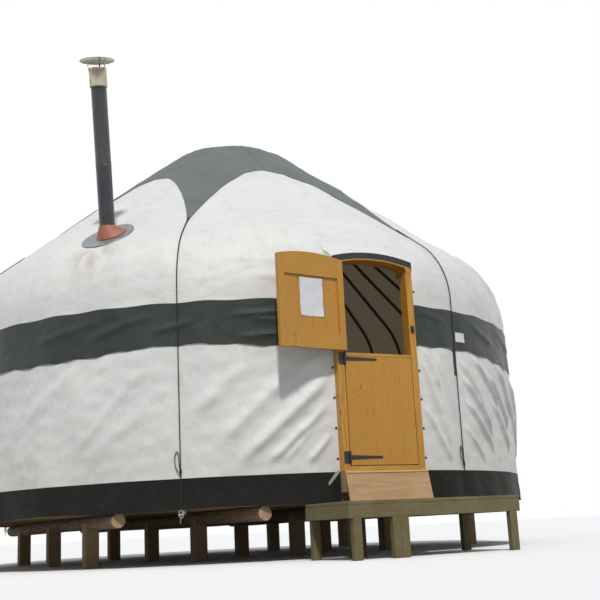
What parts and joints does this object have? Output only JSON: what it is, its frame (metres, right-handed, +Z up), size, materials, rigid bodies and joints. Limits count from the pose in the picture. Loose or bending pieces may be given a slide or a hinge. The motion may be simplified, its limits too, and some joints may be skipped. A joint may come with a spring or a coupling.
{
  "type": "yurt",
  "caption": "Round canvas tent with bent roof poles, trellis wall, star-shaped crown cover, stable door and stove pipe, on a raised timber platform with a landing.",
  "frame": {"origin": "on the ground at the building's vertical axis, at the foot of the middle platform post", "axes": "+Z up; the doorway faces -Y; +X to the right as one faces the doorway from outside"},
  "size_m": [5.4146, 6.08, 4.1769],
  "materials": {
    "canvas": "matt",
    "dark_canvas": "matt",
    "skirt_canvas": "matt",
    "lining": "matt",
    "rope": "matt",
    "webbing": "matt",
    "ash": "satin",
    "pine": "varnished",
    "floor_timber": "sawn",
    "log": "weathered",
    "landing_timber": "weathered",
    "plywood": "plain",
    "iron": "black paint",
    "galvanised": "dull",
    "pipe": "matt",
    "plate": "dull",
    "boot": "matt",
    "brass": "dull",
    "paper": "matt",
    "cord": "matt"
  },
  "bodies": {
    "building": {"roof_canvas": "canvas", "wall_canvas_left": "canvas", "wall_canvas_right": "canvas", "eaves_band": "dark_canvas", "crown_cover": "dark_canvas", "door_hood": "dark_canvas", "skirt_left": "skirt_canvas", "skirt_right": "skirt_canvas", "roof_lining": "lining", "wall_lining": "lining", "storm_ropes": "rope", "tension_band": "webbing", "trellis_front_left": "ash", "trellis_back_left": "ash", "trellis_back_right": "ash", "trellis_front_right": "ash", "roof_poles_front": "ash", "roof_poles_left": "ash", "roof_poles_back": "ash", "roof_poles_right": "ash", "crown_ring": "ash", "crown_spokes": "ash", "door_jamb_left": "pine", "door_jamb_right": "pine", "door_head": "pine", "door_sill": "pine", "floor_boards": "floor_timber", "platform_rim": "floor_timber", "floor_joists": "floor_timber", "door_bearer": "floor_timber", "platform_posts": "floor_timber", "log_bearers": "log", "landing_boards": "landing_timber", "landing_beams": "landing_timber", "landing_legs": "landing_timber", "threshold_board": "plywood", "door_hinge_plates": "iron", "door_latch": "iron", "rope_hooks": "galvanised", "flue_pipe": "pipe", "flue_plate": "plate", "flue_boot": "boot", "flue_cowl": "brass"},
    "door_top_leaf": {"top_leaf": "pine", "top_leaf_hinges": "iron", "notice_sheet": "paper", "leaf_cord": "cord"},
    "door_bottom_leaf": {"bottom_leaf": "pine", "bottom_leaf_hinges": "iron"}
  },
  "joints": [
    {"name": "door_top_leaf_hinge", "type": "hinge", "parent": "building", "child": "door_top_leaf", "pos_m": [-0.307, -2.739, 1.86], "axis": [0, 0, -1], "range_deg": [-173, 7]},
    {"name": "door_bottom_leaf_hinge", "type": "hinge", "parent": "building", "child": "door_bottom_leaf", "pos_m": [-0.307, -2.739, 1.1], "axis": [0, 0, -1], "range_deg": [0, 170]}
  ]
}
